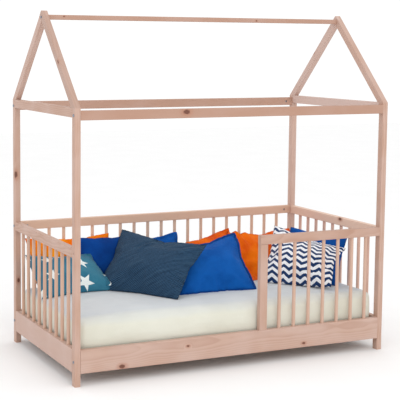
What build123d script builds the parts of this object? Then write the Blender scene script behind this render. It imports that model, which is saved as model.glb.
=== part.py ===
from build123d import *
import math
import os

# House-frame toddler bed: a pine frame with a gabled top, for a 140 x 70 cm mattress.
# Millimetres. Origin: centre of the footprint, on the floor. +X runs along the bed
# to the right, -Y is the open front, +Z is up.

# ---- driving dimensions ----
length = 1470.0            # outside the posts, along X
width = 775.0              # outside the posts, along Y
height = 1490.0            # floor to the flat-cut gable peak
post_x = 25.0              # post and rafter stock, X
post_y = 32.0              # post and rafter stock, Y
post_top = 1106.0
board = 25.0               # thickness of every rail
edge_round = 2.5           # softened edges of all planed timber

bottom_rail_z = 52.0
bottom_rail_high = 95.0
rail_high = 38.0           # barrier, eaves and end top rails
barrier_z = 515.5
eaves_z = 1058.0
end_top_z = post_top - rail_high

ridge_z = 1453.0
ridge_high = 20.0
ridge_thick = 30.0

spindle_diameter = 15.0
tenon_depth = 10.0         # spindle ends let into the rails
spindle_pitch = 71.0
rear_spindles = 19
end_spindles = 9
guard_spindles = 7

stile_left = 104.0         # left edge of the front guard and its stile
stile_wide = 36.0

ledger = 25.0              # square ledger under the slats
ledger_long = 1400.0
ledger_z = 80.0
slat_count = 14
slat_wide = 60.0
slat_long = 723.0
slat_thick = 15.0

mattress_long = 1400.0
mattress_wide = 700.0
mattress_thick = 138.0
mattress_gap = 0.5         # air between the slats and the mattress

bolt_diameter = 6.0
bolt_length = 62.0
bolt_hole = 6.6
bolt_head_diameter = 11.0
bolt_head_thick = 2.5
hex_key = 4.0
barrel_diameter = 10.0
barrel_long = 16.0
barrel_from_end = 34.0     # barrel nut axis behind the rail's end
bore_end = 4.0             # room past a bolt's tip
pin_diameter = 8.0
pin_length = 50.0
screw_diameter = 4.0
screw_hole = 4.4
screw_length = 38.0
pilot_depth = 15.0
screw_head_diameter = 8.0
screw_head_thick = 2.0

# ---- derived places ----
half_x = length / 2
half_y = width / 2
inner_x = half_x - post_x
inner_y = half_y - post_y
post_cx = half_x - post_x / 2
post_cy = half_y - post_y / 2
rail_cy = half_y - board / 2
rail_cx = half_x - board / 2
bottom_rail_top = bottom_rail_z + bottom_rail_high
bottom_bolt_z = bottom_rail_z + bottom_rail_high / 2
barrier_bolt_z = barrier_z + rail_high / 2
eaves_bolt_z = eaves_z + rail_high / 2
ridge_bolt_z = ridge_z + ridge_high / 2
stile_cx = stile_left + stile_wide / 2
slat_z = ledger_z + ledger
screw_z = ledger_z + ledger / 2
mattress_z = slat_z + slat_thick + mattress_gap
slat_pitch = (ledger_long - slat_wide) / (slat_count - 1)

# A rafter's plumb cut is its depth measured straight down on the 45 degree slope.
plumb = post_y * math.sqrt(2)
inner_peak_z = post_top + half_y - plumb
lap_x = post_x / 2

# Dowel pins of the end rails sit clear of the bolts that cross them in the posts.
bottom_pins = (bottom_bolt_z - 26.0, bottom_bolt_z + 26.0)
barrier_pins = (barrier_bolt_z - 11.0, barrier_bolt_z + 11.0)
top_pins = (post_top - 14.0,)

# Every bolt as (side in X, y, z): four corners at the bottom and the eaves, the
# rear barrier rail at both ends, the front guard at its right end, and the ridge.
bolts = [(sx, sy * rail_cy, z) for sx in (-1, 1) for sy in (-1, 1) for z in (bottom_bolt_z, eaves_bolt_z)]
bolts += [(-1, rail_cy, barrier_bolt_z), (1, rail_cy, barrier_bolt_z), (1, -rail_cy, barrier_bolt_z)]
ridge_bolts = [(-1, 0, ridge_bolt_z), (1, 0, ridge_bolt_z)]

rear_places = [(i - (rear_spindles - 1) / 2) * spindle_pitch for i in range(rear_spindles)]
end_places = [(i - (end_spindles - 1) / 2) * spindle_pitch for i in range(end_spindles)]
guard_start = stile_left + stile_wide - spindle_diameter / 2
guard_pitch = (inner_x + spindle_diameter / 2 - guard_start) / (guard_spindles + 1)
guard_places = [guard_start + guard_pitch * (i + 1) for i in range(guard_spindles)]
slat_places = [(i - (slat_count - 1) / 2) * slat_pitch for i in range(slat_count)]
ledger_screws = [-600.0, -300.0, 0.0, 300.0, 600.0]

os.makedirs("parts", exist_ok=True)


def save(piece, name):
    """Label a finished piece and write it as parts/NAME.step."""
    piece.part.label = name
    export_step(piece.part, "parts/" + name + ".step")


def bore_x(x, y, z, diameter, depth):
    """Cut a hole along X, centred on the given point, in the part being built."""
    with Locations(Location((x, y, z), (0, 90, 0))):
        Cylinder(diameter / 2, depth, mode=Mode.SUBTRACT)


def bore_y(x, y, z, diameter, depth):
    """Cut a hole along Y, centred on the given point, in the part being built."""
    with Locations(Location((x, y, z), (90, 0, 0))):
        Cylinder(diameter / 2, depth, mode=Mode.SUBTRACT)


def sockets(places, diameter, depth):
    """Cut upright round sockets, each centred on its (x, y, z) place."""
    with Locations(*places):
        Cylinder(diameter / 2, depth, mode=Mode.SUBTRACT)


# ---- posts ----
def post(name, side_x, side_y):
    """A square-cut post with clearance holes for the rail bolts and pin holes."""
    with BuildPart() as piece:
        with BuildSketch(Plane.XY):
            with Locations((side_x * post_cx, side_y * post_cy)):
                Rectangle(post_x, post_y)
        extrude(amount=post_top)
        fillet(piece.edges().filter_by(Axis.Z), edge_round)
        for z in (bottom_bolt_z, barrier_bolt_z, eaves_bolt_z):
            bore_x(side_x * post_cx, side_y * rail_cy, z, bolt_hole, post_x * 2)
        for z in bottom_pins + barrier_pins + top_pins:
            bore_y(side_x * rail_cx, side_y * (inner_y + pin_length / 4), z, pin_diameter, pin_length / 2)
    save(piece, name)


# ---- rails along X ----
def long_rail(name, side_y, z, high, left, bolted, spindle_x, spindle_z, stile_pin_z=None, pilots=()):
    """
    A rail along X up to the right-hand post, bored for its bolts and barrel nuts,
    with spindle sockets, and where they are wanted a stile pin hole and screw pilots.
    """
    middle_z = z + high / 2
    y = side_y * rail_cy
    bolt_bore = bolt_length - post_x + bore_end
    barrel_bore = board / 2 + barrel_long / 2
    barrel_y = side_y * (rail_cy - board / 2 + barrel_bore / 2)
    with BuildPart() as piece:
        with BuildSketch(Plane.YZ.offset(left)):
            with Locations((y, middle_z)):
                Rectangle(board, high)
        extrude(amount=inner_x - left)
        fillet(piece.edges().filter_by(Axis.X), edge_round)
        for side_x in bolted:
            bore_x(side_x * (inner_x - bolt_bore / 2), y, middle_z, bolt_hole, bolt_bore)
            bore_y(side_x * (inner_x - barrel_from_end), barrel_y, middle_z, barrel_diameter, barrel_bore)
        if spindle_x:
            sockets([(x, y, spindle_z) for x in spindle_x], spindle_diameter, 2 * tenon_depth)
        if stile_pin_z:
            sockets([(stile_cx, y, stile_pin_z)], pin_diameter, pin_length)
        for x in pilots:
            bore_y(x, side_y * (half_y - board), screw_z, screw_hole, 2 * pilot_depth)
    save(piece, name)


# ---- rails along Y ----
def end_rail(name, side_x, z, high, pins, spindle_z):
    """A rail along Y between two posts, held by dowel pins, with spindle sockets."""
    x = side_x * rail_cx
    with BuildPart() as piece:
        with BuildSketch(Plane.XZ.offset(-inner_y)):
            with Locations((x, z + high / 2)):
                Rectangle(board, high)
        extrude(amount=2 * inner_y)
        fillet(piece.edges().filter_by(Axis.Y), edge_round)
        for pin_z in pins:
            for side_y in (-1, 1):
                bore_y(x, side_y * (inner_y - pin_length / 4), pin_z, pin_diameter, pin_length / 2)
        if spindle_z:
            sockets([(x, y, spindle_z) for y in end_places], spindle_diameter, 2 * tenon_depth)
    save(piece, name)


# ---- front guard stile ----
def guard_stile():
    """The flat upright that ends the front guard beside the way in."""
    with BuildPart() as piece:
        with BuildSketch(Plane.XY.offset(bottom_rail_top)):
            with Locations((stile_cx, -rail_cy)):
                Rectangle(stile_wide, board)
        extrude(amount=barrier_z - bottom_rail_top)
        fillet(piece.edges().filter_by(Axis.Z), edge_round)
        ends = [(stile_cx, -rail_cy, z) for z in (bottom_rail_top, barrier_z)]
        sockets(ends, pin_diameter, pin_length)
    save(piece, "guard_stile")


# ---- spindles ----
def spindle_group(name, places):
    """Round rods from the bottom rail into the barrier rail, as separate solids."""
    with BuildPart() as piece:
        with BuildSketch(Plane.XY.offset(bottom_rail_top - tenon_depth)):
            with Locations(*places):
                Circle(spindle_diameter / 2)
        extrude(amount=barrier_z - bottom_rail_top + 2 * tenon_depth)
    save(piece, name)


# ---- gables ----
def lap_start(side_x, outer):
    """Lowest X of the outer or the inner half of a gable's thickness."""
    near = inner_x + (lap_x if outer else 0.0)
    return min(side_x * near, side_x * (near + lap_x))


def rafter(name, side_x, side_y):
    """
    A 45 degree rafter. Its foot is cut level to sit on the post, its head is cut
    level at the peak and halved: the front rafter keeps the outer half.
    """
    flat = half_y - (height - post_top)
    far = plumb / 2
    with BuildPart() as piece:
        with BuildSketch(Plane.YZ.offset(min(side_x * inner_x, side_x * half_x))):
            with BuildLine():
                Polyline(
                    (side_y * half_y, post_top),
                    (side_y * flat, height),
                    (-side_y * flat, height),
                    (-side_y * far, inner_peak_z + far),
                    (side_y * (half_y - plumb), post_top),
                    close=True,
                )
            make_face()
        extrude(amount=post_x)
        fillet(piece.edges().filter_by(lambda edge: edge.length > height / 4), edge_round)
        with BuildSketch(Plane.YZ.offset(lap_start(side_x, side_y > 0))):
            with Locations((0, inner_peak_z + far)):
                Rectangle(post_y, post_y, rotation=45)
        extrude(amount=lap_x, mode=Mode.SUBTRACT)
        bore_x(side_x * post_cx, 0, ridge_bolt_z, bolt_hole, post_x * 2)
    save(piece, name)


def ridge():
    """The ridge bar between the two gable peaks, bored for its bolts and nuts."""
    bolt_bore = bolt_length - post_x + bore_end
    barrel_bore = ridge_thick / 2 + barrel_long / 2
    with BuildPart() as piece:
        with BuildSketch(Plane.YZ.offset(-inner_x)):
            with Locations((0, ridge_bolt_z)):
                Rectangle(ridge_thick, ridge_high)
        extrude(amount=2 * inner_x)
        fillet(piece.edges().filter_by(Axis.X), edge_round)
        for side_x in (-1, 1):
            bore_x(side_x * (inner_x - bolt_bore / 2), 0, ridge_bolt_z, bolt_hole, bolt_bore)
            barrel_x = side_x * (inner_x - barrel_from_end)
            barrel_y = ridge_thick / 2 - barrel_bore / 2
            bore_y(barrel_x, barrel_y, ridge_bolt_z, barrel_diameter, barrel_bore)
    save(piece, "ridge")


# ---- fasteners ----
def bolt_group(name, places):
    """Hex-socket bolts along X, heads on the outer faces of the posts."""
    with BuildPart() as piece:
        for side_x, y, z in places:
            with Locations(Location((side_x * half_x, y, z), (0, side_x * 90, 0))):
                with Locations((0, 0, bolt_head_thick / 2)):
                    Cylinder(bolt_head_diameter / 2, bolt_head_thick)
                with Locations((0, 0, -bolt_length / 2)):
                    Cylinder(bolt_diameter / 2, bolt_length)
                with Locations((0, 0, bolt_head_thick)):
                    Cylinder(hex_key / 2, bolt_head_thick, mode=Mode.SUBTRACT)
    save(piece, name)


def barrel_nut_group():
    """Cross-drilled barrel nuts that the bolts pull against inside the rails."""
    with BuildPart() as piece:
        for side_x, y, z in bolts + ridge_bolts:
            x = side_x * (inner_x - barrel_from_end)
            with Locations(Location((x, y, z), (90, 0, 0))):
                Cylinder(barrel_diameter / 2, barrel_long)
            bore_x(x, y, z, bolt_diameter, barrel_diameter * 2)
    save(piece, "barrel_nuts")


def end_pin_group():
    """Beech dowel pins that join the end rails to the posts."""
    with BuildPart() as piece:
        for z in bottom_pins + barrier_pins + top_pins:
            for side_x in (-1, 1):
                for side_y in (-1, 1):
                    with Locations(Location((side_x * rail_cx, side_y * inner_y, z), (90, 0, 0))):
                        Cylinder(pin_diameter / 2, pin_length)
    save(piece, "end_rail_pins")


def stile_pin_group():
    """Upright dowel pins above and below the guard stile."""
    with BuildPart() as piece:
        for z in (bottom_rail_top, barrier_z):
            with Locations((stile_cx, -rail_cy, z)):
                Cylinder(pin_diameter / 2, pin_length)
    save(piece, "stile_pins")


def ledger_screw_group():
    """Countersunk-style screws that hold the ledgers to the long bottom rails."""
    head_y = half_y - board - ledger
    with BuildPart() as piece:
        for side_y in (-1, 1):
            for x in ledger_screws:
                with Locations(Location((x, side_y * head_y, screw_z), (side_y * 90, 0, 0))):
                    with Locations((0, 0, screw_head_thick / 2)):
                        Cylinder(screw_head_diameter / 2, screw_head_thick)
                    with Locations((0, 0, -screw_length / 2)):
                        Cylinder(screw_diameter / 2, screw_length)
    save(piece, "ledger_screws")


# ---- slatted base ----
def ledger_strip(name, side_y):
    """A square strip inside a long bottom rail that the slats rest on."""
    y = side_y * (half_y - board - ledger / 2)
    with BuildPart() as piece:
        with BuildSketch(Plane.YZ.offset(-ledger_long / 2)):
            with Locations((y, screw_z)):
                Rectangle(ledger, ledger)
        extrude(amount=ledger_long)
        for x in ledger_screws:
            bore_y(x, y, screw_z, screw_hole, ledger * 2)
    save(piece, name)


def slats():
    """The row of loose slats across the bed."""
    with BuildPart() as piece:
        with BuildSketch(Plane.XY.offset(slat_z)):
            with Locations(*[(x, 0) for x in slat_places]):
                Rectangle(slat_wide, slat_long)
        extrude(amount=slat_thick)
    save(piece, "base_slats")


# ---- soft goods ----
def mattress():
    """The foam mattress in its fitted sheet."""
    corner = 38.0
    edge = 22.0
    with BuildPart() as piece:
        with BuildSketch(Plane.XY.offset(mattress_z)):
            RectangleRounded(mattress_long, mattress_wide, corner)
        extrude(amount=mattress_thick)
        fillet(piece.edges().group_by(Axis.Z)[-1], edge)
        fillet(piece.edges().group_by(Axis.Z)[0], edge)
    save(piece, "mattress")


def cushion_form(centre, turn, lean, roll, wide, high, thick, swell=0.0):
    """
    A crowned cushion leaning back on the mattress. turn swings its front about Z,
    lean tips its top backwards, and roll turns it in its own face. swell makes it
    larger all round by that much.
    """
    corner = 22.0
    rim = 14.0 + 2 * swell
    full = thick + 2 * swell
    half_diagonal_squared = (wide / 2 + swell) ** 2 + (high / 2 + swell) ** 2
    crown = (full - rim) / 2
    crown_radius = (half_diagonal_squared + crown**2) / (2 * crown)
    turned = math.radians(turn)
    leaned = math.radians(lean)
    across = Vector(math.cos(turned), math.sin(turned), 0)
    back = Vector(-math.sin(turned), math.cos(turned), 0)
    face = Vector(0, 0, 1) * math.sin(leaned) - back * math.cos(leaned)
    frame = Plane(origin=centre, x_dir=across, z_dir=face).rotated((0, 0, roll))
    section = Plane(origin=centre, x_dir=frame.x_dir, z_dir=-frame.y_dir)
    with BuildPart() as form:
        with BuildSketch(section):
            with Locations((0, full / 2 - crown_radius)):
                Circle(crown_radius)
            with Locations((0, crown_radius - full / 2)):
                Circle(crown_radius, mode=Mode.INTERSECT)
            Rectangle(crown_radius, full, align=(Align.MIN, Align.CENTER), mode=Mode.INTERSECT)
        revolve(axis=Axis(centre, frame.z_dir))
        with BuildSketch(frame):
            RectangleRounded(wide + 2 * swell, high + 2 * swell, corner + swell)
        extrude(amount=full, both=True, mode=Mode.INTERSECT)
    return form.part


cushion_places = {}


def cushion(name, centre, turn, lean, roll, wide, high, thick, pressed_by=()):
    """One cushion, flat where it rests on the mattress and hollowed by the ones that press it."""
    gap = 1.5
    cushion_places[name] = (centre, turn, lean, roll, wide, high, thick)
    with BuildPart() as piece:
        add(cushion_form(*cushion_places[name]))
        with Locations((centre[0], centre[1], mattress_z + mattress_thick + gap)):
            Box(900, 900, 300, align=(Align.CENTER, Align.CENTER, Align.MAX), mode=Mode.SUBTRACT)
        for other in pressed_by:
            add(cushion_form(*cushion_places[other], swell=gap), mode=Mode.SUBTRACT)
    save(piece, name)


# ---- assembly ----
for side_name, side_x in (("left", -1), ("right", 1)):
    for end_name, side_y in (("front", -1), ("rear", 1)):
        post("post_" + end_name + "_" + side_name, side_x, side_y)
        rafter("rafter_" + side_name + "_" + end_name, side_x, side_y)
    end_rail(
        "rail_bottom_" + side_name, side_x, bottom_rail_z, bottom_rail_high, bottom_pins, bottom_rail_top,
    )
    end_rail("barrier_rail_" + side_name, side_x, barrier_z, rail_high, barrier_pins, barrier_z)
    end_rail("rail_top_" + side_name, side_x, end_top_z, rail_high, top_pins, None)
    spindle_group("spindles_" + side_name, [(side_x * rail_cx, y) for y in end_places])

both_ends = (-1, 1)
long_rail(
    "rail_bottom_front", -1, bottom_rail_z, bottom_rail_high, -inner_x, both_ends,
    guard_places, bottom_rail_top, stile_pin_z=bottom_rail_top, pilots=ledger_screws,
)
long_rail(
    "rail_bottom_rear", 1, bottom_rail_z, bottom_rail_high, -inner_x, both_ends,
    rear_places, bottom_rail_top, pilots=ledger_screws,
)
long_rail("barrier_rail_rear", 1, barrier_z, rail_high, -inner_x, both_ends, rear_places, barrier_z)
long_rail(
    "guard_rail_front", -1, barrier_z, rail_high, stile_left, (1,),
    guard_places, barrier_z, stile_pin_z=barrier_z,
)
for end_name, side_y in (("front", -1), ("rear", 1)):
    long_rail("rail_top_" + end_name, side_y, eaves_z, rail_high, -inner_x, both_ends, None, None)
    ledger_strip("ledger_" + end_name, side_y)
spindle_group("spindles_rear", [(x, rail_cy) for x in rear_places])
spindle_group("spindles_guard", [(x, -rail_cy) for x in guard_places])
guard_stile()
ridge()
bolt_group("frame_bolts", bolts)
bolt_group("ridge_bolts", ridge_bolts)
barrel_nut_group()
end_pin_group()
stile_pin_group()
ledger_screw_group()
slats()
mattress()

# Cushions, from the front row backwards. Each leans on the ones behind it and presses into them.
cushion("cushion_teal", (-540, 202, 338), turn=0, lean=56, roll=0, wide=330, high=249, thick=92)
cushion(
    "cushion_slate", (-213, 35, 374), turn=-56, lean=47, roll=0, wide=429, high=315, thick=108,
    pressed_by=["cushion_teal"],
)
cushion(
    "cushion_blue_mid", (56, -6, 373), turn=-7, lean=50, roll=1, wide=371, high=334, thick=104,
    pressed_by=["cushion_slate"],
)
cushion("cushion_chevron", (494, -92, 360), turn=-50, lean=49, roll=-5, wide=318, high=284, thick=100)
cushion(
    "cushion_blue_right", (599, -22, 374), turn=-67, lean=22, roll=-2, wide=326, high=222, thick=80,
    pressed_by=["cushion_chevron"],
)
cushion(
    "cushion_royal", (-328, 288, 370), turn=-3, lean=14, roll=-5, wide=256, high=203, thick=70,
    pressed_by=["cushion_teal"],
)
cushion(
    "cushion_orange_right", (528, 232, 354), turn=5, lean=47, roll=-2, wide=338, high=264, thick=88,
    pressed_by=["cushion_blue_right"],
)
cushion(
    "cushion_orange_mid", (235, 260, 356), turn=4, lean=37, roll=11, wide=303, high=183, thick=76,
    pressed_by=["cushion_orange_right"],
)
cushion("cushion_blue_rear", (-62, 292, 357), turn=12, lean=8, roll=3, wide=261, high=180, thick=70)
cushion(
    "cushion_orange_left", (-495, 325, 377), turn=1, lean=2, roll=-3, wide=408, high=208, thick=58,
    pressed_by=["cushion_royal", "cushion_teal"],
)
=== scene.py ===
import math

import bpy
import numpy as np
from mathutils import Matrix, Vector
from mathutils.bvhtree import BVHTree


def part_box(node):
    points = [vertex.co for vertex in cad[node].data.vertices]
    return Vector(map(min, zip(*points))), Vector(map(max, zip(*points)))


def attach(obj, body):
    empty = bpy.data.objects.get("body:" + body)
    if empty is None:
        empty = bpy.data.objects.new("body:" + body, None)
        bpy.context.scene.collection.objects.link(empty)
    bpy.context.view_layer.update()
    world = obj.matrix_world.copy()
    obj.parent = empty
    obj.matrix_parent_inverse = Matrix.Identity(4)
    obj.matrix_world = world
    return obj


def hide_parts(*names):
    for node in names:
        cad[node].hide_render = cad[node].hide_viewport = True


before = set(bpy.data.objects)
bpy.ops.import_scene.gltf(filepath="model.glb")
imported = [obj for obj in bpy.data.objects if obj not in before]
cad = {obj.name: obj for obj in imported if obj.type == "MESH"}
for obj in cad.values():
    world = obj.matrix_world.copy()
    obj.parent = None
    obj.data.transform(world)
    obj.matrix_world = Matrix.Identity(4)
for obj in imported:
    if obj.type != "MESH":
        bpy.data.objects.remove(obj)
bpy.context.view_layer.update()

MM = 0.001


# ---------------------------------------------------------------- colours
def srgb(red, green, blue):
    """A linear colour from the 0 to 255 numbers of a paint chart."""
    def linear(value):
        value /= 255
        return value / 12.92 if value <= 0.04045 else ((value + 0.055) / 1.055) ** 2.4
    return (linear(red), linear(green), linear(blue), 1.0)


# ---------------------------------------------------------------- shader helper
class Shader:
    """A material in the making, with short calls for the nodes it needs."""

    def __init__(self, name):
        self.material = bpy.data.materials.new(name)
        self.material.use_nodes = True
        self.tree = self.material.node_tree
        self.surface = self.tree.nodes["Principled BSDF"]

    def feed(self, socket, value):
        if isinstance(value, bpy.types.NodeSocket):
            self.tree.links.new(value, socket)
        else:
            socket.default_value = value

    def node(self, kind, **inputs):
        made = self.tree.nodes.new("ShaderNode" + kind)
        for key, value in inputs.items():
            self.feed(made.inputs[key.replace("_", " ")], value)
        return made

    def math(self, operation, *values):
        made = self.tree.nodes.new("ShaderNodeMath")
        made.operation = operation
        for socket, value in zip(made.inputs, values):
            self.feed(socket, value)
        return made.outputs[0]

    def add(self, *values):
        total = values[0]
        for value in values[1:]:
            total = self.math("ADD", total, value)
        return total

    def times(self, *values):
        total = values[0]
        for value in values[1:]:
            total = self.math("MULTIPLY", total, value)
        return total

    def vector(self, operation, *values):
        made = self.tree.nodes.new("ShaderNodeVectorMath")
        made.operation = operation
        for socket, value in zip(made.inputs, values):
            self.feed(socket, value)
        scalar = operation in ("DOT_PRODUCT", "LENGTH", "DISTANCE")
        return made.outputs["Value" if scalar else "Vector"]

    def join(self, x, y, z):
        made = self.tree.nodes.new("ShaderNodeCombineXYZ")
        for socket, value in zip(made.inputs, (x, y, z)):
            self.feed(socket, value)
        return made.outputs[0]

    def split(self, vector):
        made = self.node("SeparateXYZ", Vector=vector)
        return made.outputs[0], made.outputs[1], made.outputs[2]

    def noise(self, vector, scale, detail=3.0, roughness=0.55):
        made = self.node("TexNoise", Vector=vector, Scale=scale, Detail=detail, Roughness=roughness)
        return made.outputs[0]

    def ramp(self, value, low, high, out_low=0.0, out_high=1.0):
        """A smooth step from out_low at low to out_high at high."""
        made = self.tree.nodes.new("ShaderNodeMapRange")
        made.interpolation_type = "SMOOTHSTEP"
        for socket, number in zip(made.inputs, (value, low, high, out_low, out_high)):
            self.feed(socket, number)
        return made.outputs[0]

    def blend(self, share, first, second):
        made = self.tree.nodes.new("ShaderNodeMix")
        made.data_type = "RGBA"
        self.feed(made.inputs[0], share)
        self.feed(made.inputs[6], first)
        self.feed(made.inputs[7], second)
        return made.outputs[2]

    def bump(self, height, distance, strength=1.0, under=None):
        made = self.node("Bump", Height=height, Distance=distance, Strength=strength)
        if under:
            self.feed(made.inputs["Normal"], under)
        return made.outputs[0]

    def place(self):
        return self.node("TexCoord").outputs["Object"]

    def attribute(self, name):
        made = self.tree.nodes.new("ShaderNodeAttribute")
        made.attribute_name = name
        return made.outputs["Vector"]

    def finish(self, colour, roughness, normal, **constants):
        self.feed(self.surface.inputs["Base Color"], colour)
        self.feed(self.surface.inputs["Roughness"], roughness)
        self.feed(self.surface.inputs["Normal"], normal)
        for key, value in constants.items():
            self.surface.inputs[key.replace("_", " ")].default_value = value
        return self.material


# ---------------------------------------------------------------- timber
PINE = srgb(194, 160, 142)
PINE_LATE = srgb(170, 128, 107)
PINE_PALE = srgb(207, 182, 172)
KNOT_CORE = srgb(104, 62, 48)
KNOT_HALO = srgb(176, 122, 98)
RING = 4.6 * MM            # one year ring


def timber(node, along, seed, knots=(), tone_and_painted_light=None):
    """
    Planed pine cut from one tree: rings round a slightly tilted pith line, fine
    fibres along the grain, and knots, each (x, y, z, radius), that bend the rings.
    The last argument is a share and a colour: partly the board's own tone, partly painted light and shade.
    """
    rng = np.random.default_rng(seed)
    low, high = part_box(node)
    centre = (low + high) / 2
    grain = Vector(along).normalized()
    side = Vector((1, 0, 0)) if abs(grain.x) < 0.5 else Vector((0, 1, 0))
    across = grain.cross(side).normalized()

    shader = Shader("pine_" + node)
    here = shader.vector("SUBTRACT", shader.place(), tuple(centre))
    u, v, w = (shader.vector("DOT_PRODUCT", here, tuple(axis)) for axis in (grain, side, across))
    far = shader.add(u, float(rng.uniform(-3, 3)))

    warp = shader.noise(shader.join(shader.times(far, 0.7), v, w), 2.4, 3.0)
    warp = shader.times(shader.add(warp, -0.5), 34 * MM)
    reach = float(rng.uniform(70, 130)) * MM
    turn = float(rng.uniform(0, 2 * math.pi))
    tilt = shader.times(u, float(rng.uniform(-0.03, 0.03)))
    from_pith = shader.join(
        0.0,
        shader.add(v, reach * math.cos(turn), tilt),
        shader.add(w, reach * math.sin(turn)),
    )
    radius = shader.add(shader.vector("LENGTH", from_pith), warp)

    core = halo = None
    for x, y, z, size in knots:
        offset = Vector((x, y, z)) - centre
        away = shader.join(
            shader.times(shader.add(u, -offset.dot(grain)), 0.62),
            shader.add(v, -offset.dot(side)),
            shader.add(w, -offset.dot(across)),
        )
        rough = shader.times(shader.add(shader.noise(away, 150.0, 2.0), -0.5), size * 0.9)
        distance = shader.add(shader.vector("LENGTH", away), rough)
        radius = shader.add(radius, shader.ramp(distance, size * 0.8, size * 4.5, RING * 1.2, 0.0))
        one_core = shader.ramp(distance, size * 0.75, size * 1.25, 1.0, 0.0)
        one_halo = shader.ramp(distance, size * 1.0, size * 2.8, 1.0, 0.0)
        core = one_core if core is None else shader.math("MAXIMUM", core, one_core)
        halo = one_halo if halo is None else shader.math("MAXIMUM", halo, one_halo)

    saw = shader.math("FRACT", shader.math("DIVIDE", radius, RING))
    late = shader.times(shader.ramp(saw, 0.15, 0.86), shader.ramp(saw, 0.9, 1.0, 1.0, 0.0))
    broad = shader.noise(shader.join(shader.times(far, 0.6), v, w), 9.0, 2.0)
    threads = shader.join(shader.times(far, 14.0), shader.times(v, 700.0), shader.times(w, 700.0))
    fibre = shader.noise(threads, 1.0, 3.0, 0.6)

    colour = shader.blend(shader.times(late, 0.5), PINE, PINE_LATE)
    colour = shader.blend(shader.ramp(broad, 0.35, 0.7, 0.0, 0.4), colour, PINE_PALE)
    colour = shader.blend(shader.ramp(fibre, 0.45, 0.75, 0.0, 0.16), colour, PINE_LATE)
    # painted light and shade: the whole board leans to a lighter or darker colour, partly its own tone
    if tone_and_painted_light:
        colour = shader.blend(tone_and_painted_light[0], colour, tone_and_painted_light[1])
    if core:
        colour = shader.blend(shader.times(halo, 0.55), colour, KNOT_HALO)
        colour = shader.blend(shader.times(core, 0.92), colour, KNOT_CORE)
    roughness = shader.ramp(fibre, 0.3, 0.8, 0.50, 0.64)
    relief = shader.add(shader.times(fibre, 0.6), shader.times(late, -0.4))
    normal = shader.bump(relief, 0.2 * MM, 0.4)
    return shader.finish(colour, roughness, normal, Specular_IOR_Level=0.35)


# ---------------------------------------------------------------- steel
def zinc_steel():
    """Blue-grey zinc plate with a mottled passivated finish and fine handling marks."""
    shader = Shader("zinc_steel")
    here = shader.place()
    mottle = shader.noise(here, 300.0, 4.0)
    marks = shader.noise(shader.vector("MULTIPLY", here, (60.0, 1800.0, 900.0)), 1.0, 2.0)
    colour = shader.blend(shader.ramp(mottle, 0.3, 0.7), srgb(126, 138, 156), srgb(168, 178, 190))
    roughness = shader.ramp(shader.add(mottle, marks), 0.7, 1.3, 0.28, 0.5)
    normal = shader.bump(marks, 0.05 * MM, 0.4)
    return shader.finish(colour, roughness, normal, Metallic=0.9)


# ---------------------------------------------------------------- cloth
COTTON_THREAD = 1.1 * MM   # thread pitch of the plain and the zigzag cotton
CANVAS_THREAD = 1.3 * MM   # thread pitch of the star canvas
SEERSUCKER_RIB = 6.2 * MM
SEERSUCKER_KNOT = 5.4 * MM


def weave(shader, cloth, pitch):
    """The over-and-under height of a plain weave with that thread pitch."""
    x, y, _ = shader.split(cloth)
    turn = 2 * math.pi / pitch
    wobble = shader.times(shader.add(shader.noise(cloth, 45.0, 2.0), -0.5), 1.6)
    warp = shader.math("SINE", shader.add(shader.times(x, turn), wobble))
    weft = shader.math("SINE", shader.add(shader.times(y, turn), wobble))
    return shader.times(warp, weft)


def plain_cotton(name, shade, base, light, sheen, fold=0.35):
    """Dyed cotton: a plain weave, slightly slubby, paler where it is rubbed."""
    shader = Shader(name)
    cloth = shader.attribute("cloth")
    threads = weave(shader, cloth, COTTON_THREAD)
    slub = shader.noise(shader.vector("MULTIPLY", cloth, (90.0, 700.0, 90.0)), 1.0, 2.0)
    broad = shader.noise(cloth, 7.0, 3.0)
    colour = shader.blend(shader.ramp(broad, 0.3, 0.7), shade, base)
    colour = shader.blend(shader.ramp(slub, 0.5, 0.8, 0.0, 0.4), colour, light)
    creases = shader.noise(cloth, 22.0, 3.0, 0.6)
    normal = shader.bump(creases, 3.0 * MM, fold)
    normal = shader.bump(shader.add(threads, shader.times(slub, 0.8)), 0.16 * MM, 0.5, normal)
    roughness = shader.ramp(slub, 0.3, 0.8, 0.78, 0.92)
    return shader.finish(colour, roughness, normal, Sheen_Weight=sheen, Sheen_Roughness=0.45,
                         Specular_IOR_Level=0.12)


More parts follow.
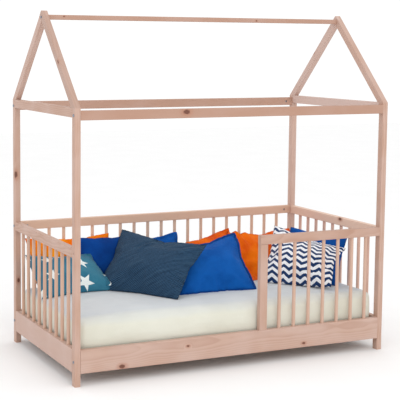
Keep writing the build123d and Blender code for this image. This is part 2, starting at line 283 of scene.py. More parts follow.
def slate_seersucker(name):
    """Dark slate seersucker: narrow puckered ribs with painted highlight on their crests and painted shade
    in their troughs, and slow streaks along them, pale as painted highlight and dark as painted shade.
    """
    shader = Shader(name)
    cloth = shader.attribute("cloth")
    x, y, _ = shader.split(cloth)
    drift = shader.times(shader.add(shader.noise(cloth, 26.0, 3.0), -0.5), 3 * MM)
    along = shader.add(shader.times(x, 0.82), shader.times(y, 0.57))
    across = shader.add(shader.times(x, -0.57), shader.times(y, 0.82), drift)
    rib = shader.math("SINE", shader.times(across, 2 * math.pi / SEERSUCKER_RIB))
    knot = shader.math("SINE", shader.times(along, 2 * math.pi / SEERSUCKER_KNOT))
    fine = shader.join(shader.times(along, 130.0), shader.times(across, 420.0), 0.0)
    pucker = shader.noise(fine, 1.0, 3.0, 0.65)
    slow = shader.join(shader.times(along, 9.0), shader.times(across, 90.0), 2.0)
    streak_painted_light = shader.noise(slow, 1.0, 3.0, 0.6)
    crest_painted_light = shader.add(shader.times(rib, 0.42), shader.times(knot, 0.2), shader.times(pucker, 1.3))
    # painted highlight on the rib crests and painted shade in the troughs
    colour = shader.blend(shader.ramp(crest_painted_light, 0.0, 1.25), srgb(2, 22, 42), srgb(56, 90, 122))
    # painted highlight in the pale streaks and painted shade in the dark ones
    colour = shader.blend(shader.ramp(streak_painted_light, 0.5, 0.72, 0.0, 0.2), colour, srgb(80, 108, 130))
    colour = shader.blend(shader.ramp(streak_painted_light, 0.28, 0.48, 0.3, 0.0), colour, srgb(8, 26, 44))
    creases = shader.noise(cloth, 15.0, 3.0, 0.6)
    normal = shader.bump(creases, 6.0 * MM, 0.6)
    normal = shader.bump(shader.add(crest_painted_light, streak_painted_light), 1.4 * MM, 0.9, normal)
    normal = shader.bump(weave(shader, cloth, 1.2 * MM), 0.1 * MM, 0.4, normal)
    return shader.finish(colour, shader.ramp(pucker, 0.3, 0.7, 0.8, 0.95), normal,
                         Sheen_Weight=0.03, Sheen_Roughness=0.5, Specular_IOR_Level=0.15)


# Where the stars fall on the cover: centre across and up, radius (mm) and turn (degrees).
STAR_PLACES = (
    (48, -92, 41, -16), (66, 20, 38, 2), (-84, 57, 32, 8), (-97, -46, 32, -6), (-172, 106, 31, 20),
    (177, -44, 24, 24), (-172, -112, 32, 40), (174, -128, 16, 10), (-14, 128, 33, 30),
)


def star_cotton(name):
    """Teal canvas printed with white five-pointed stars, each at its own size and turn."""
    shader = Shader(name)
    cloth = shader.attribute("cloth")
    point = 2 * math.pi / 5
    # Each edge runs from a tip to a notch at this share of the radius, half a point round.
    notch = 0.41
    notch_x = notch * math.cos(point / 2)
    notch_y = notch * math.sin(point / 2)
    ragged = shader.times(shader.add(shader.noise(cloth, 400.0, 2.0), -0.5), 0.5 * MM)
    star = 0.0
    for right, rise, radius, turn in STAR_PLACES:
        local = shader.vector("SUBTRACT", cloth, (right * MM, rise * MM, 0.0))
        x, y, _ = shader.split(local)
        reach = shader.vector("LENGTH", shader.join(x, y, 0.0))
        angle = shader.add(shader.math("ARCTAN2", y, x), 4 * math.pi - math.radians(turn))
        fold = shader.math("PINGPONG", angle, point / 2)
        from_tip = shader.add(radius * MM, shader.times(reach, shader.math("COSINE", fold), -1.0))
        aside = shader.times(reach, shader.math("SINE", fold))
        inside = shader.add(shader.times(from_tip, notch_y), shader.times(aside, notch_x - 1.0), ragged)
        star = shader.math("MAXIMUM", star, shader.ramp(inside, -0.15 * MM, 0.4 * MM))
    threads = weave(shader, cloth, CANVAS_THREAD)
    slub = shader.noise(shader.vector("MULTIPLY", cloth, (120.0, 600.0, 90.0)), 1.0, 2.0)
    broad = shader.noise(cloth, 8.0, 3.0)
    ground = shader.blend(shader.ramp(broad, 0.3, 0.7), srgb(34, 100, 128), srgb(52, 122, 146))
    ground = shader.blend(shader.ramp(slub, 0.5, 0.8, 0.0, 0.35), ground, srgb(84, 148, 168))
    white = shader.blend(shader.ramp(slub, 0.45, 0.8), srgb(236, 242, 240), srgb(206, 222, 226))
    colour = shader.blend(star, ground, white)
    normal = shader.bump(shader.noise(cloth, 20.0, 3.0), 3.0 * MM, 0.35)
    normal = shader.bump(threads, 0.2 * MM, 0.5, normal)
    return shader.finish(colour, shader.ramp(slub, 0.3, 0.8, 0.75, 0.9), normal,
                         Sheen_Weight=0.1, Sheen_Roughness=0.5, Specular_IOR_Level=0.25)


def chevron_cotton(name):
    """White cotton printed with navy zigzags."""
    wave = 52 * MM
    climb = 17 * MM
    stripe = 30 * MM
    shader = Shader(name)
    cloth = shader.attribute("cloth")
    soft = shader.times(shader.add(shader.noise(cloth, 14.0, 2.0), -0.5), 10 * MM)
    x, y, _ = shader.split(cloth)
    zigzag = shader.math("PINGPONG", shader.add(x, soft, 5 * wave), wave / 2)
    level = shader.add(y, shader.times(zigzag, climb / (wave / 2)), soft, 10 * stripe)
    band = shader.math("PINGPONG", level, stripe / 2)
    navy = shader.ramp(band, stripe * 0.245, stripe * 0.265)
    slub = shader.noise(shader.vector("MULTIPLY", cloth, (120.0, 600.0, 90.0)), 1.0, 2.0)
    white = shader.blend(shader.ramp(slub, 0.4, 0.8), srgb(244, 246, 250), srgb(224, 227, 233))
    blue = shader.blend(shader.ramp(slub, 0.4, 0.8), srgb(0, 42, 90), srgb(6, 58, 112))
    colour = shader.blend(navy, white, blue)
    normal = shader.bump(shader.noise(cloth, 26.0, 4.0, 0.6), 5.0 * MM, 0.5)
    normal = shader.bump(weave(shader, cloth, COTTON_THREAD), 0.15 * MM, 0.5, normal)
    return shader.finish(colour, shader.ramp(slub, 0.3, 0.8, 0.72, 0.88), normal,
                         Sheen_Weight=0.15, Sheen_Roughness=0.5, Specular_IOR_Level=0.3)


def mattress_cotton():
    """Unbleached jersey on the sides, fading over the edge into a cooler white top, painted darker as
    shade.
    """
    shader = Shader("mattress_cotton")
    here = shader.place()
    _, y, z = shader.split(here)
    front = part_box("mattress")[0].y
    top_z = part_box("mattress")[1].z
    soft = shader.times(shader.add(shader.noise(here, 6.0, 3.0), -0.5), 24 * MM)
    # painted shade: the top takes a darker colour than the sides, and more of it back from the front edge,
    # where the cushions shade it
    up = shader.ramp(shader.add(z, soft), top_z - 34 * MM, top_z - 8 * MM)
    up = shader.times(up, shader.ramp(shader.add(y, soft), front - 10 * MM, front + 70 * MM, 0.3, 1.0))
    broad = shader.noise(here, 4.0, 3.0)
    fuzz = shader.noise(here, 380.0, 3.0)
    side = shader.blend(shader.ramp(broad, 0.3, 0.7), srgb(214, 213, 198), srgb(222, 222, 209))
    # darker than the sides: painted shade on the top
    top = shader.blend(shader.ramp(broad, 0.3, 0.7), srgb(192, 198, 203), srgb(204, 209, 212))
    colour = shader.blend(up, side, top)
    colour = shader.blend(shader.ramp(fuzz, 0.5, 0.8, 0.0, 0.3), colour, srgb(200, 200, 192))
    knit = shader.math("SINE", shader.times(z, 2 * math.pi / (2.2 * MM)))
    folds = shader.noise(shader.vector("MULTIPLY", here, (3.0, 14.0, 12.0)), 1.0, 2.0)
    normal = shader.bump(folds, 14.0 * MM, 0.5)
    normal = shader.bump(shader.noise(here, 16.0, 3.0, 0.6), 3.0 * MM, 0.35, normal)
    normal = shader.bump(shader.add(fuzz, shader.times(knit, 0.15)), 0.3 * MM, 0.5, normal)
    return shader.finish(colour, shader.ramp(fuzz, 0.3, 0.8, 0.82, 0.95), normal,
                         Sheen_Weight=0.2, Sheen_Roughness=0.6, Specular_IOR_Level=0.2)


# ---------------------------------------------------------------- mesh helpers
def make_object(name, points, faces, material, attribute=None):
    """A smooth-shaded mesh object, with an optional vector stored at each point."""
    mesh = bpy.data.meshes.new(name)
    mesh.from_pydata([tuple(p) for p in points], [], [tuple(f) for f in faces])
    if attribute is not None:
        stored = mesh.attributes.new("cloth", "FLOAT_VECTOR", "POINT")
        stored.data.foreach_set("vector", np.asarray(attribute, np.float32).ravel())
    mesh.materials.append(material)
    mesh.validate()
    mesh.shade_smooth()
    made = bpy.data.objects.new(name, mesh)
    bpy.context.scene.collection.objects.link(made)
    return made


def get_points(mesh):
    points = np.zeros(len(mesh.vertices) * 3)
    mesh.vertices.foreach_get("co", points)
    return points.reshape(-1, 3)


def set_points(mesh, points):
    mesh.vertices.foreach_set("co", np.asarray(points, np.float32).ravel())
    mesh.update()


# ---------------------------------------------------------------- mattress top
MATTRESS_LOW, MATTRESS_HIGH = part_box("mattress")
RAIL_AIR = 1 * MM          # air kept between a cushion and a rail's inner face
# Along X and then Y: how far the cushions may reach from the middle, and over what
# length they ease up to that.
RAIL_ROOM = (
    (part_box("barrier_rail_right")[0].x - RAIL_AIR, 6 * MM),
    (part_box("barrier_rail_rear")[0].y - RAIL_AIR, 16 * MM),
)
CROWN = 15 * MM            # the middle of the mattress stands this much above its edges


def mattress_top(x, y):
    """Height of the mattress's upper face at a place: crowned, with slow waves."""
    middle = (MATTRESS_LOW + MATTRESS_HIGH) / 2
    half = (MATTRESS_HIGH - MATTRESS_LOW) / 2
    u, v = (x - middle.x) / half.x, (y - middle.y) / half.y
    crown = np.clip(1 - u ** 4, 0, 1) * np.clip(1 - v ** 4, 0, 1) * CROWN
    waves = np.sin(u * 3.1 + 0.8) * np.cos(v * 2.0 - 0.4) * 2.5 + np.sin(u * 6.6 + v * 2.2) * 1.5
    return MATTRESS_HIGH.z + crown + waves * MM


# ---------------------------------------------------------------- cushions
CELL = 8.5 * MM            # side of one cell of the cover's mesh
FLAT_HALF = 5 * MM         # half thickness of the empty cover
TAKE_UP = 1.06             # the cut cover is this much wider than the filled cushion
FEWEST_CELLS = 12          # along each side of a cover
FACE_APART = 0.3           # third pattern coordinate, so that front and back differ
BORDER_APART = 0.6         # the same for a sewn border
SLACK = 0.3                # share of the cloth's sideways drift that is kept
SIM_FRAMES = 20

HOLLOW, FOLD, GATHER = 2.4, 1.3, 2.6   # relief of a filled cover, mm
TOP_EMPTIER = 0.16         # share by which the filling thins towards the top
SEAM_SINK = 5 * MM         # how far a bottom seam is let into the mattress
LONGEST_DROP = 40 * MM
PRESS_GAP = 2.0 * MM       # air left where two cushions are pressed apart
MOST_CROSSINGS = 20
STEP_ON = 0.01 * MM        # how far past a hit the next ray starts
# Across a sewn border: share of its width from the seam, and half its thickness in mm.
BORDER_RINGS = ((-0.35, 1.2), (0.0, 1.3), (0.12, 0.7), (0.6, 0.9), (1.0, 0.9))


class Cushion:
    """One cushion: where its CAD solid lies, its cut cover, and how it is filled."""

    def __init__(self, node, material, fill, flange=0.0, edge=None, plump=1.0, pull=None,
                 creases=(), seed=0):
        self.node = node
        self.material = material
        self.fill = fill
        self.flange = flange
        self.edge = edge or material
        self.plump = plump
        self.pull = pull or {}
        self.creases = creases
        self.seed = seed
        self.read_frame()

    def read_frame(self):
        """The centre, axes and size of the solid: its thinnest axis, then its tightest rectangle."""
        points = get_points(cad[self.node].data)
        middle = (points.min(0) + points.max(0)) / 2
        _, vectors = np.linalg.eigh(np.cov((points - middle).T))
        normal = vectors[:, 0]
        normal = normal * (-1 if normal[1] > 0 else 1)
        level = np.cross((0, 0, 1), normal)
        level = level / np.linalg.norm(level)
        steep = np.cross(normal, level)
        best = None
        for degrees in np.arange(-45, 45, 0.5):
            turn = math.radians(degrees)
            across = level * math.cos(turn) + steep * math.sin(turn)
            up = steep * math.cos(turn) - level * math.sin(turn)
            spans = [points @ axis for axis in (across, up)]
            area = np.ptp(spans[0]) * np.ptp(spans[1])
            if best is None or area < best[0]:
                best = (area, across, up, spans)
        _, self.across, self.up, spans = best
        self.normal = normal
        thick = points @ normal
        self.size = (np.ptp(spans[0]), np.ptp(spans[1]), np.ptp(thick))
        halves = [(span.min() + span.max()) / 2 for span in (*spans, thick)]
        self.centre = self.across * halves[0] + self.up * halves[1] + self.normal * halves[2]

    def cut_cover(self):
        """The empty cover: two square-grid sheets joined all round, thinly spread open."""
        wide = self.size[0] * TAKE_UP - 2 * self.flange
        high = self.size[1] * TAKE_UP - 2 * self.flange
        columns = max(FEWEST_CELLS, round(wide / CELL))
        rows = max(FEWEST_CELLS, round(high / CELL))
        index = {}
        points, cloth, faces = [], [], []
        for side in (1, -1):
            for j in range(rows + 1):
                for i in range(columns + 1):
                    x = (i / columns - 0.5) * wide
                    y = (j / rows - 0.5) * high
                    on_seam = i in (0, columns) or j in (0, rows)
                    if on_seam and side < 0:
                        index[side, i, j] = index[1, i, j]
                        continue
                    spread = math.sin(math.pi * i / columns) * math.sin(math.pi * j / rows)
                    index[side, i, j] = len(points)
                    points.append((x, y, side * FLAT_HALF * math.sqrt(max(spread, 0))))
                    cloth.append((x, y, side * FACE_APART))
        for side in (1, -1):
            for j in range(rows):
                for i in range(columns):
                    corners = [(i, j), (i + 1, j), (i + 1, j + 1), (i, j + 1)]
                    face = [index[side, a, b] for a, b in corners]
                    faces.append(face if side > 0 else face[::-1])
        self.seam = self.seam_loop(index, columns, rows)
        self.hem = [index[1, i, 0] for i in range(columns + 1)]
        self.cut = np.array(points)
        name = self.node.replace("cushion_", "pillow_")
        self.piece = make_object(name, points, faces, self.material, cloth)

    @staticmethod
    def seam_loop(index, columns, rows):
        """The seam's points in order, round the cover."""
        loop = [(i, 0) for i in range(columns)]
        loop += [(columns, j) for j in range(rows)]
        loop += [(i, rows) for i in range(columns, 0, -1)]
        loop += [(0, j) for j in range(rows, 0, -1)]
        return [index[1, i, j] for i, j in loop]

    def start_cloth(self):
        """Blow the cover up against its own stiffness, with no gravity."""
        cloth = self.piece.modifiers.new("fill", "CLOTH")
        settings = cloth.settings
        settings.quality = 6
        settings.mass = 0.25
        settings.tension_stiffness = 18
        settings.compression_stiffness = 18
        settings.shear_stiffness = 6
        settings.bending_stiffness = 0.6
        settings.air_damping = 2.0
        settings.use_pressure = True
        settings.uniform_pressure_force = 4.0 + 3.0 * self.fill
        settings.effector_weights.gravity = 0
        cloth.point_cache.frame_start = 1
        cloth.point_cache.frame_end = SIM_FRAMES

    def keep_cloth(self):
        """Store the filled shape in the mesh and drop the simulation."""
        graph = bpy.context.evaluated_depsgraph_get()
        filled = get_points(self.piece.evaluated_get(graph).data)
        self.piece.modifiers.clear()
        set_points(self.piece.data, filled)

    def fit(self):
        """Bring the filled shape to its measured size, and stand it in its place."""
        points = get_points(self.piece.data)
        points -= (points.min(0) + points.max(0)) / 2
        flat = self.cut * np.ptp(points, axis=0) / np.ptp(self.cut, axis=0)
        points[:, :2] = flat[:, :2] + (points[:, :2] - flat[:, :2]) * SLACK
        target = np.array(self.size) - (2 * self.flange, 2 * self.flange, 0)
        target[2] *= self.plump
        points *= target / np.ptp(points, axis=0)
        self.pucker(points, target)
        for (side, end), pull in self.pull.items():
            near_side = 1 + side * points[:, 0] / target[0] * 2
            near_end = 1 + end * points[:, 1] / target[1] * 2
            weight = near_side * near_end / 4
            points += np.clip(weight, 0, 1)[:, None] * np.array(pull) * MM
        world = self.centre + points[:, :1] * self.across + points[:, 1:2] * self.up
        world = world + points[:, 2:] * self.normal
        set_points(self.piece.data, world)
        self.settle()

    def pucker(self, points, size):
        """Slow hollows in the face, thread-pulled gathers at the seam, and less filling at the top."""
        rng = np.random.default_rng(self.seed)
        phase = rng.uniform(0, 2 * math.pi, 6)
        x, y = points[:, 0], points[:, 1]
        u, v = 2 * x / size[0], 2 * y / size[1]
        side = np.sign(points[:, 2])
        hollows = np.sin(x * 23 + phase[0]) * np.sin(y * 19 + phase[1])
        folds = np.sin((x * 0.8 + y) * 47 + 3 * np.sin(x * 11 + phase[2]) + phase[3])
        edge_u, edge_v = (1 - np.abs(u)) * size[0] / 2, (1 - np.abs(v)) * size[1] / 2
        along = np.where(edge_u < edge_v, y, x)
        edge = np.minimum(edge_u, edge_v)
        gathers = np.sin(along * 260 + 2.5 * np.sin(along * 41 + phase[4]) + phase[5])
        near_seam = np.exp(-edge / (16 * MM)) * np.clip(edge / (5 * MM), 0, 1)
        inner = np.clip(edge / (30 * MM), 0, 1)
        points[:, 2] *= 1 - TOP_EMPTIER * v
        points[:, 2] += side * inner * (hollows * HOLLOW + folds * FOLD) * MM
        points[:, 2] += side * near_seam * gathers * GATHER * MM
        for from_u, from_v, to_u, to_v, width, depth in self.creases:
            start = np.array((from_u, from_v)) * size[:2] / 2
            run = np.array((to_u, to_v)) * size[:2] / 2 - start
            share = np.clip((points[:, :2] - start) @ run / (run @ run), 0, 1)
            off = points[:, :2] - start - share[:, None] * run
            away = (run[0] * off[:, 1] - run[1] * off[:, 0]) / np.linalg.norm(run) / (width * MM)
            length_fade = np.clip(1 - share, 0, 1) ** 0.5
            spread = np.linalg.norm(off, axis=1) / (width * MM)
            fold = -np.exp(-spread ** 2) + 0.8 * np.exp(-(away - 1.7) ** 2 - np.clip(spread - 3, 0, 9))
            points[:, 2] += np.where(side > 0, fold * length_fade * depth * MM, 0)

    def settle(self):
        """Let the lower half sink until its seam lies on the mattress."""
        points = get_points(self.piece.data)
        order = self.cut[self.hem, 0]
        hem = points[self.hem]
        gap = hem[:, 2] - mattress_top(hem[:, 0], hem[:, 1]) + SEAM_SINK
        drop = np.interp(self.cut[:, 0], order, np.clip(gap, 0, LONGEST_DROP))
        lower = np.clip(-2 * self.cut[:, 1] / np.ptp(self.cut[:, 1]), 0, 1)
        points[:, 2] -= drop * lower ** 1.3
        set_points(self.piece.data, points)


def press_apart(front, rear):
    """Dent the rear cushion backwards where the front one would pass through it, then the reverse."""
    for giver, taker, way in ((front, rear, -front.normal), (rear, front, rear.normal)):
        shape = get_points(giver.piece.data)
        still = BVHTree.FromPolygons(
            [tuple(p) for p in shape],
            [tuple(face.vertices) for face in giver.piece.data.polygons],
        )
        points = get_points(taker.piece.data)
        within = np.nonzero(((points > shape.min(0)) & (points < shape.max(0))).all(1))[0]
        for k in within:
            point = Vector(points[k])
            if is_inside(still, point):
                out = still.ray_cast(point, Vector(way))[0]
                points[k] = (out or point) + Vector(way) * PRESS_GAP
        set_points(taker.piece.data, points)


def is_inside(tree, point):
    """Whether a point lies in a closed surface: a line out of it crosses an odd number of times."""
    outward = Vector((0.31, -0.83, 0.46)).normalized()
    crossings = 0
    start = point
    while True:
        hit = tree.ray_cast(start, outward)[0]
        if hit is None or crossings > MOST_CROSSINGS:
            return crossings % 2 == 1
        crossings += 1
        start = hit + outward * STEP_ON


def ease_between_rails(cushion):
    """
    Keep a cushion between the inner faces of the rails, which it is lifted out through.
    One smooth map of space serves all the cushions, so none is pushed into its neighbour.
    """
    points = get_points(cushion.piece.data)
    for axis, (room, ease) in enumerate(RAIL_ROOM):
        past = np.abs(points[:, axis]) - (room - ease)
        eased = room - ease * np.exp(-np.maximum(past, 0) / ease)
        points[:, axis] = np.where(past > 0, np.sign(points[:, axis]) * eased, points[:, axis])
    set_points(cushion.piece.data, points)


def add_flange(cushion):
    """A flat double border sewn outside the seam, with a little flutter."""
    mesh = cushion.piece.data
    points = get_points(mesh)
    seam = points[cushion.seam]
    count = len(seam)
    ahead = np.roll(seam, -2, 0) - np.roll(seam, 2, 0)
    out = np.cross(ahead, cushion.normal)
    out /= np.linalg.norm(out, axis=1)[:, None]
    away = seam - cushion.centre
    out *= np.sign((out * away).sum(1))[:, None]
    rng = np.random.default_rng(cushion.seed + 50)
    phase = rng.uniform(0, 2 * math.pi)
    around = np.arange(count) / count * 2 * math.pi
    flutter = (np.sin(around * 9 + phase) + 0.6 * np.sin(around * 17 + 2 * phase)) * 1.6 * MM
    rings = []
    for share, half in BORDER_RINGS:
        base = seam + out * cushion.flange * share + cushion.normal * (flutter * max(share, 0))[:, None]
        rings.append(base + cushion.normal * half * MM)
        rings.insert(0, base - cushion.normal * half * MM)
    ring_points = np.concatenate(rings)
    total = len(rings)
    faces = []
    for ring in range(total):
        here, there = ring * count, (ring + 1) % total * count
        for k in range(count):
            nxt = (k + 1) % count
            faces.append((here + k, here + nxt, there + nxt, there + k))
    local = ring_points - cushion.centre
    cloth = np.stack([local @ cushion.across, local @ cushion.up, np.full(len(local), BORDER_APART)], 1)
    border = make_object(cushion.piece.name + "_border", ring_points, faces, cushion.edge, cloth)
    border.parent = cushion.piece
    return border


# ---------------------------------------------------------------- mattress
SINK = 8 * MM              # how far the cushions press into the mattress
DIP_SPREAD = 55 * MM       # how far round a cushion the mattress dips
DIP_FROM = 22 * MM         # the lowest part of a cushion that dents the mattress
PAD_CELL = 13 * MM
PAD_ROUND = np.array((20 * MM, 34 * MM, 26 * MM))
BELLY = 4 * MM             # how far the sides bulge
REST_ZONE = 30 * MM        # a cushion is tested against the mattress up to this height over it
REST_AIR = 1 * MM
ABOVE = 0.1                # a probing ray starts this far above the mattress


def box_lattice(size, cell):
    """The surface of a box as shared square cells: points from -1 to 1, and faces."""
    counts = [max(2, round(length / cell)) for length in size]
    index, points, faces = {}, [], []

    def corner(key):
        if key not in index:
            index[key] = len(points)
            points.append([2 * key[a] / counts[a] - 1 for a in range(3)])
        return index[key]

    for axis in range(3):
        first, second = (axis + 1) % 3, (axis + 2) % 3
        for end in (0, counts[axis]):
            for i in range(counts[first]):
                for j in range(counts[second]):
                    quad = []
                    for di, dj in ((0, 0), (1, 0), (1, 1), (0, 1)):
                        key = [0, 0, 0]
                        key[axis], key[first], key[second] = end, i + di, j + dj
                        quad.append(corner(tuple(key)))
                    faces.append(quad if end else quad[::-1])
    return np.array(points), faces


def build_mattress(cushions, material):
    """
    A foam mattress in its cover: rounded edges, bellied sides, slow waves in the
    top and a dip wherever a cushion stands on it.
    """
    half = np.array((MATTRESS_HIGH - MATTRESS_LOW) / 2)
    centre = np.array((MATTRESS_HIGH + MATTRESS_LOW) / 2)
    unit, faces = box_lattice(half * 2, PAD_CELL)
    core = np.clip(unit * half, -(half - PAD_ROUND), half - PAD_ROUND)
    over = (unit * half - core) / PAD_ROUND
    length = np.maximum(np.linalg.norm(over, axis=1, keepdims=True), 1e-9)
    points = core + over / np.maximum(length, 1) * PAD_ROUND
    x, y, z = points.T
    height = z / half[2]
    belly = (1 - height ** 2) * BELLY
    points[:, 1] += np.sign(y) * belly * (np.abs(y) / half[1]) ** 6
    points[:, 0] += np.sign(x) * belly * 0.7 * (np.abs(x) / half[0]) ** 6
    creases = np.sin(x * 31 + 2 * np.sin(x * 7)) * np.sin(height * 2.2 + x * 5) * 1.2 * MM
    points[:, 1] += np.sign(y) * creases * (np.abs(y) / half[1]) ** 8
    top = np.clip(height, 0, 1) ** 3
    points[:, 2] += top * (mattress_top(x + centre[0], y + centre[1]) - MATTRESS_HIGH.z)
    standing = []
    for cushion in cushions:
        low = get_points(cushion.piece.data)
        standing.append(low[low[:, 2] < low[:, 2].min() + DIP_FROM][::3, :2])
    standing = np.concatenate(standing)
    for k in np.nonzero(top > 0.05)[0]:
        near = np.min(np.sum((standing - points[k, :2] - centre[:2]) ** 2, axis=1))
        points[k, 2] -= top[k] * SINK * math.exp(-near / DIP_SPREAD ** 2)
    return make_object("mattress_pad", points + centre, faces, material)


def rest_on(cushion, surface):
    """Stand a cushion on the mattress, and flatten what would sink through it."""
    mesh = cushion.piece.data
    points = get_points(mesh)
    for k, point in enumerate(points):
        if point[2] > MATTRESS_HIGH.z + REST_ZONE:
            continue
        probe = Vector((point[0], point[1], MATTRESS_HIGH.z + ABOVE))
        hit = surface.ray_cast(probe, Vector((0, 0, -1)))[0]
        if hit and point[2] < hit.z + REST_AIR:
            points[k, 2] = hit.z + REST_AIR
    set_points(mesh, points)


# ---------------------------------------------------------------- the bedding
# Two copies of one orange cotton: a darker one, painted shade for the cushions in the shade of others, and
# a lighter one, painted light for the left cushion.
ORANGE_PAINTED_SHADE = plain_cotton(
    "orange_cotton", srgb(208, 66, 0), srgb(240, 114, 0), srgb(250, 150, 40), sheen=0.03, fold=0.7,
)
ORANGE_PAINTED_LIGHT = plain_cotton(
    "orange_cotton_painted_light", srgb(236, 104, 0), srgb(255, 158, 20), srgb(255, 184, 80), sheen=0.05, fold=0.5,
)
BLUE = plain_cotton("blue_cotton", srgb(0, 72, 150), srgb(10, 90, 174), srgb(34, 114, 198), sheen=0.02)
ROYAL = plain_cotton("royal_cotton", srgb(0, 50, 120), srgb(0, 66, 146), srgb(14, 90, 168), sheen=0.02)
DEEP_BLUE = plain_cotton("deep_blue", srgb(0, 62, 134), srgb(4, 80, 162), srgb(24, 104, 186), sheen=0.02)
# A darker copy of the blue cotton for the mid cushion's sewn border: painted shade on the border.
BLUE_PAINTED_SHADE = plain_cotton("blue_cotton_painted_shade", srgb(0, 48, 112), srgb(0, 62, 130), srgb(10, 86, 158), sheen=0.02)
SLATE = slate_seersucker("slate_seersucker")
STARS = star_cotton("star_cotton")
CHEVRON = chevron_cotton("chevron_cotton")

cushions = [
    Cushion(
        "cushion_teal", STARS, fill=0.7, seed=6,
        pull={(1, 1): (-26, -14, 0), (1, -1): (20, 2, 0), (-1, 1): (-6, 10, 0)},
        creases=[(1, -1, 0.4, -0.5, 9, 4), (1, 1, 0.6, 0.5, 10, 4)],
    ),
    Cushion(
        "cushion_slate", SLATE, fill=0.8, plump=1.08, seed=7,
        pull={(-1, 1): (-24, 30, 0), (1, 1): (12, -12, 0), (1, -1): (-12, 12, 0)},
        creases=[
            (-0.02, 1.0, -0.35, 0.2, 10, 13), (1.0, -0.3, 0.7, -0.22, 7, 9), (1.0, -0.48, 0.6, -0.34, 7, 9),
            (1.0, -0.7, 0.66, -0.5, 7, 8), (-0.7, -1.0, -0.3, -0.5, 12, 8), (0.9, 0.9, 0.3, 0.4, 14, 7),
            (-1.0, 0.2, -0.6, 0.1, 10, 6), (-0.9, 0.95, -0.5, 0.5, 14, 6),
        ],
    ),
    Cushion(
        "cushion_chevron", CHEVRON, fill=0.7, seed=10,
        pull={(-1, 1): (-50, 62, 0), (-1, -1): (-10, 4, 0), (1, 1): (20, -45, 0), (1, -1): (8, 70, 0)},
        creases=[
            (0.9, -0.95, 0.4, -0.4, 9, 12), (0.5, -1.0, 0.25, -0.45, 9, 11), (1.0, -0.4, 0.5, -0.2, 9, 10),
            (1.0, 0.9, 0.5, 0.3, 12, 7), (0.1, -1.0, 0.05, -0.6, 9, 8),
        ],
    ),
    Cushion(
        "cushion_blue_mid", BLUE, fill=0.6, flange=10 * MM, edge=BLUE_PAINTED_SHADE, seed=8,
        pull={(-1, 1): (0, -80, 0), (1, 1): (4, 8, 0)},
        creases=[
            (0.1, -1.0, 0.02, -0.5, 9, 9), (0.24, -1.0, 0.3, -0.65, 8, 8), (-0.5, -1.0, -0.4, -0.7, 9, 7),
            (0.9, -0.9, 0.45, -0.5, 12, 6), (0.95, 0.9, 0.5, 0.3, 14, 6),
        ],
    ),
    Cushion("cushion_blue_right", DEEP_BLUE, fill=0.5, seed=9, pull={(-1, 1): (0, 8, 0)}),
    Cushion("cushion_royal", ROYAL, fill=0.6, seed=2, creases=[(-0.4, -1.0, -0.2, -0.3, 12, 6)]),
    Cushion(
        "cushion_orange_right", ORANGE_PAINTED_SHADE, fill=0.7, seed=5,
        pull={(-1, -1): (-90, -150, 0), (-1, 1): (-20, 14, 0)},
        creases=[
            (-0.86, 1.0, -0.7, 0.0, 10, 13), (-0.6, 1.0, -0.5, 0.3, 10, 10), (-1.0, 0.2, -0.5, 0.0, 11, 10),
            (-1.0, -0.1, -0.5, -0.3, 11, 10), (0.2, 1.0, 0.1, 0.4, 11, 9),
        ],
    ),
    Cushion(
        "cushion_orange_mid", ORANGE_PAINTED_SHADE, fill=0.6, seed=4,
        pull={(-1, 1): (0, -10, 0), (1, 1): (-2, 40, 0)},
    ),
    Cushion("cushion_blue_rear", BLUE, fill=0.5, flange=9 * MM, seed=3, pull={(1, 1): (8, 18, 0)}),
    Cushion(
        "cushion_orange_left", ORANGE_PAINTED_LIGHT, fill=0.6, seed=1,
        pull={(-1, -1): (50, 40, 0)},
        creases=[(0.5, 1.0, 0.4, 0.4, 12, 5)],
    ),
]
for cushion in cushions:
    cushion.cut_cover()
for cushion in cushions:
    cushion.start_cloth()
for step in range(1, SIM_FRAMES + 1):
    bpy.context.scene.frame_set(step)
for cushion in cushions:
    cushion.keep_cloth()
for cushion in cushions:
    cushion.fit()
for k, front in enumerate(cushions):
    for rear in cushions[k + 1:]:
        press_apart(front, rear)
for cushion in cushions:
    ease_between_rails(cushion)

mattress = build_mattress(cushions, mattress_cotton())
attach(mattress, "mattress_set")
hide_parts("mattress")

graph = bpy.context.evaluated_depsgraph_get()
mattress_surface = BVHTree.FromObject(mattress, graph)
for cushion in cushions:
    rest_on(cushion, mattress_surface)
    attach(cushion.piece, "mattress_set")
    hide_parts(cushion.node)
    if cushion.flange:
        border = add_flange(cushion)


# ---------------------------------------------------------------- the frame
ALONG_X, ALONG_Y, ALONG_Z = (1, 0, 0), (0, 1, 0), (0, 0, 1)
KNOTS = {
    "rail_bottom_front": [
        (-0.531, -0.387, 0.063, 8 * MM), (-0.235, -0.387, 0.116, 4 * MM), (0.326, -0.387, 0.070, 5 * MM),
    ],
    "rail_top_front": [(-0.252, -0.387, 1.083, 9 * MM)],
    "post_rear_left": [(-0.734, 0.357, 0.769, 9 * MM), (-0.722, 0.356, 0.287, 6 * MM)],
    "rafter_left_front": [(-0.735, -0.200, 1.282, 5 * MM)],
    "rafter_right_rear": [(0.710, 0.173, 1.322, 5 * MM)],
    "barrier_rail_right": [(0.710, -0.078, 0.547, 7 * MM)],
    "ridge": [(-0.640, -0.015, 1.467, 2.4 * MM), (0.280, -0.015, 1.461, 2.6 * MM)],
}
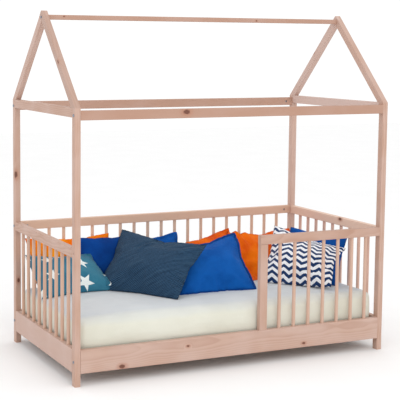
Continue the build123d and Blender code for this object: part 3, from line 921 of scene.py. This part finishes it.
# Boards that differ from the rest: how far each leans to which colour. This is partly each board's own
# tone, partly painted light and shade: the rear spindles and rear barrier rail are lightened against the
# shade they stand in, the top front rail and front left rafter darkened against the strong light on them.
BOARD_TONES_AND_PAINTED_LIGHT = {
    "rail_top_front": (0.55, PINE_LATE), "rail_top_rear": (0.45, PINE_LATE), "ridge": (0.4, PINE_LATE),
    "guard_rail_front": (0.2, PINE_LATE), "rafter_left_front": (0.5, srgb(178, 150, 137)),
    "rail_bottom_front": (0.2, PINE_PALE), "rail_bottom_left": (0.4, PINE_PALE),
    "rail_top_right": (0.9, PINE_PALE), "rafter_left_rear": (0.3, PINE_PALE),
    "rafter_right_front": (0.15, PINE_PALE), "rafter_right_rear": (0.6, PINE_PALE),
    "post_rear_right": (0.5, srgb(207, 178, 165)), "barrier_rail_rear": (0.7, srgb(222, 185, 160)),
    "barrier_rail_right": (0.8, srgb(231, 200, 180)), "spindles_rear": (0.9, srgb(221, 190, 168)),
    "spindles_left": (0.5, srgb(216, 178, 154)), "spindles_right": (0.6, srgb(226, 188, 172)),
    "spindles_guard": (0.5, srgb(212, 178, 158)),
}
boards = {}
for side in ("left", "right"):
    for end in ("front", "rear"):
        boards["post_" + end + "_" + side] = ALONG_Z
        boards["rafter_" + side + "_" + end] = (0, 1 if end == "front" else -1, 1)
    boards["rail_bottom_" + side] = ALONG_Y
    boards["rail_top_" + side] = ALONG_Y
    boards["barrier_rail_" + side] = ALONG_Y
    boards["spindles_" + side] = ALONG_Z
for end in ("front", "rear"):
    boards["rail_bottom_" + end] = ALONG_X
    boards["rail_top_" + end] = ALONG_X
    boards["ledger_" + end] = ALONG_X
for name, along in (
    ("barrier_rail_rear", ALONG_X), ("guard_rail_front", ALONG_X), ("guard_stile", ALONG_Z),
    ("spindles_rear", ALONG_Z), ("spindles_guard", ALONG_Z), ("ridge", ALONG_X),
    ("base_slats", ALONG_Y), ("end_rail_pins", ALONG_Y), ("stile_pins", ALONG_Z),
):
    boards[name] = along


def paint(node, material):
    """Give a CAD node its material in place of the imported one."""
    mesh = cad[node].data
    mesh.materials.clear()
    mesh.materials.append(material)


for seed, (name, along) in enumerate(sorted(boards.items())):
    paint(name, timber(name, along, seed, KNOTS.get(name, ()), BOARD_TONES_AND_PAINTED_LIGHT.get(name)))
steel = zinc_steel()
for name in ("frame_bolts", "ridge_bolts", "barrel_nuts", "ledger_screws"):
    paint(name, steel)


# ---------------------------------------------------------------- studio
def build_floor():
    """A large pale floor under the bed."""
    reach = 12.0
    corners = [(-reach, -reach, 0), (reach, -reach, 0), (reach, reach, 0), (-reach, reach, 0)]
    shader = Shader("studio_floor")
    speckle = shader.noise(shader.place(), 3.0, 3.0)
    colour = shader.blend(speckle, srgb(246, 246, 246), srgb(251, 251, 251))
    material = shader.finish(colour, 0.9, shader.bump(speckle, 0.1 * MM, 0.1), Specular_IOR_Level=0.1)
    floor = make_object("studio_floor", corners, [(0, 1, 2, 3)], material)


def area_light(name, place, aim, size, power, colour=(1, 1, 1)):
    light = bpy.data.lights.new(name, "AREA")
    light.shape = "RECTANGLE"
    light.size, light.size_y = size
    light.energy = power
    light.color = colour
    made = bpy.data.objects.new(name, light)
    made.location = place
    made.rotation_euler = (Vector(aim) - Vector(place)).to_track_quat("-Z", "Y").to_euler()
    bpy.context.scene.collection.objects.link(made)


def build_lights():
    world = bpy.data.worlds.new("studio")
    bpy.context.scene.world = world
    world.use_nodes = True
    sky = world.node_tree.nodes["Background"]
    sky.inputs["Color"].default_value = (1, 1, 1, 1)
    sky.inputs["Strength"].default_value = 1.05
    middle = (0, 0, 0.6)
    area_light("key", (-0.6, -3.9, 2.9), middle, (2.4, 2.4), 34, (1.0, 0.985, 0.96))
    area_light("side", (-4.0, 0.2, 1.4), middle, (2.5, 2.5), 4.5, (0.75, 0.88, 1.15))


def build_camera():
    """The standing viewer's camera: to the left of the bed, looking slightly down."""
    place = Vector((-2.308, -4.481, 1.352))
    turn, drop, roll = math.radians(24.32), math.radians(5.8), math.radians(0.36)
    camera = bpy.data.cameras.new("camera")
    camera.sensor_width = 36
    camera.lens = 102.2
    camera.shift_x, camera.shift_y = 0.15, -0.10
    made = bpy.data.objects.new("camera", camera)
    made.matrix_world = (
        Matrix.Translation(place)
        @ Matrix.Rotation(-turn, 4, "Z")
        @ Matrix.Rotation(math.pi / 2 - drop, 4, "X")
        @ Matrix.Rotation(roll, 4, "Z")
    )
    bpy.context.scene.collection.objects.link(made)
    bpy.context.scene.camera = made


build_floor()
build_lights()
build_camera()
bpy.context.scene.view_settings.view_transform = "Standard"
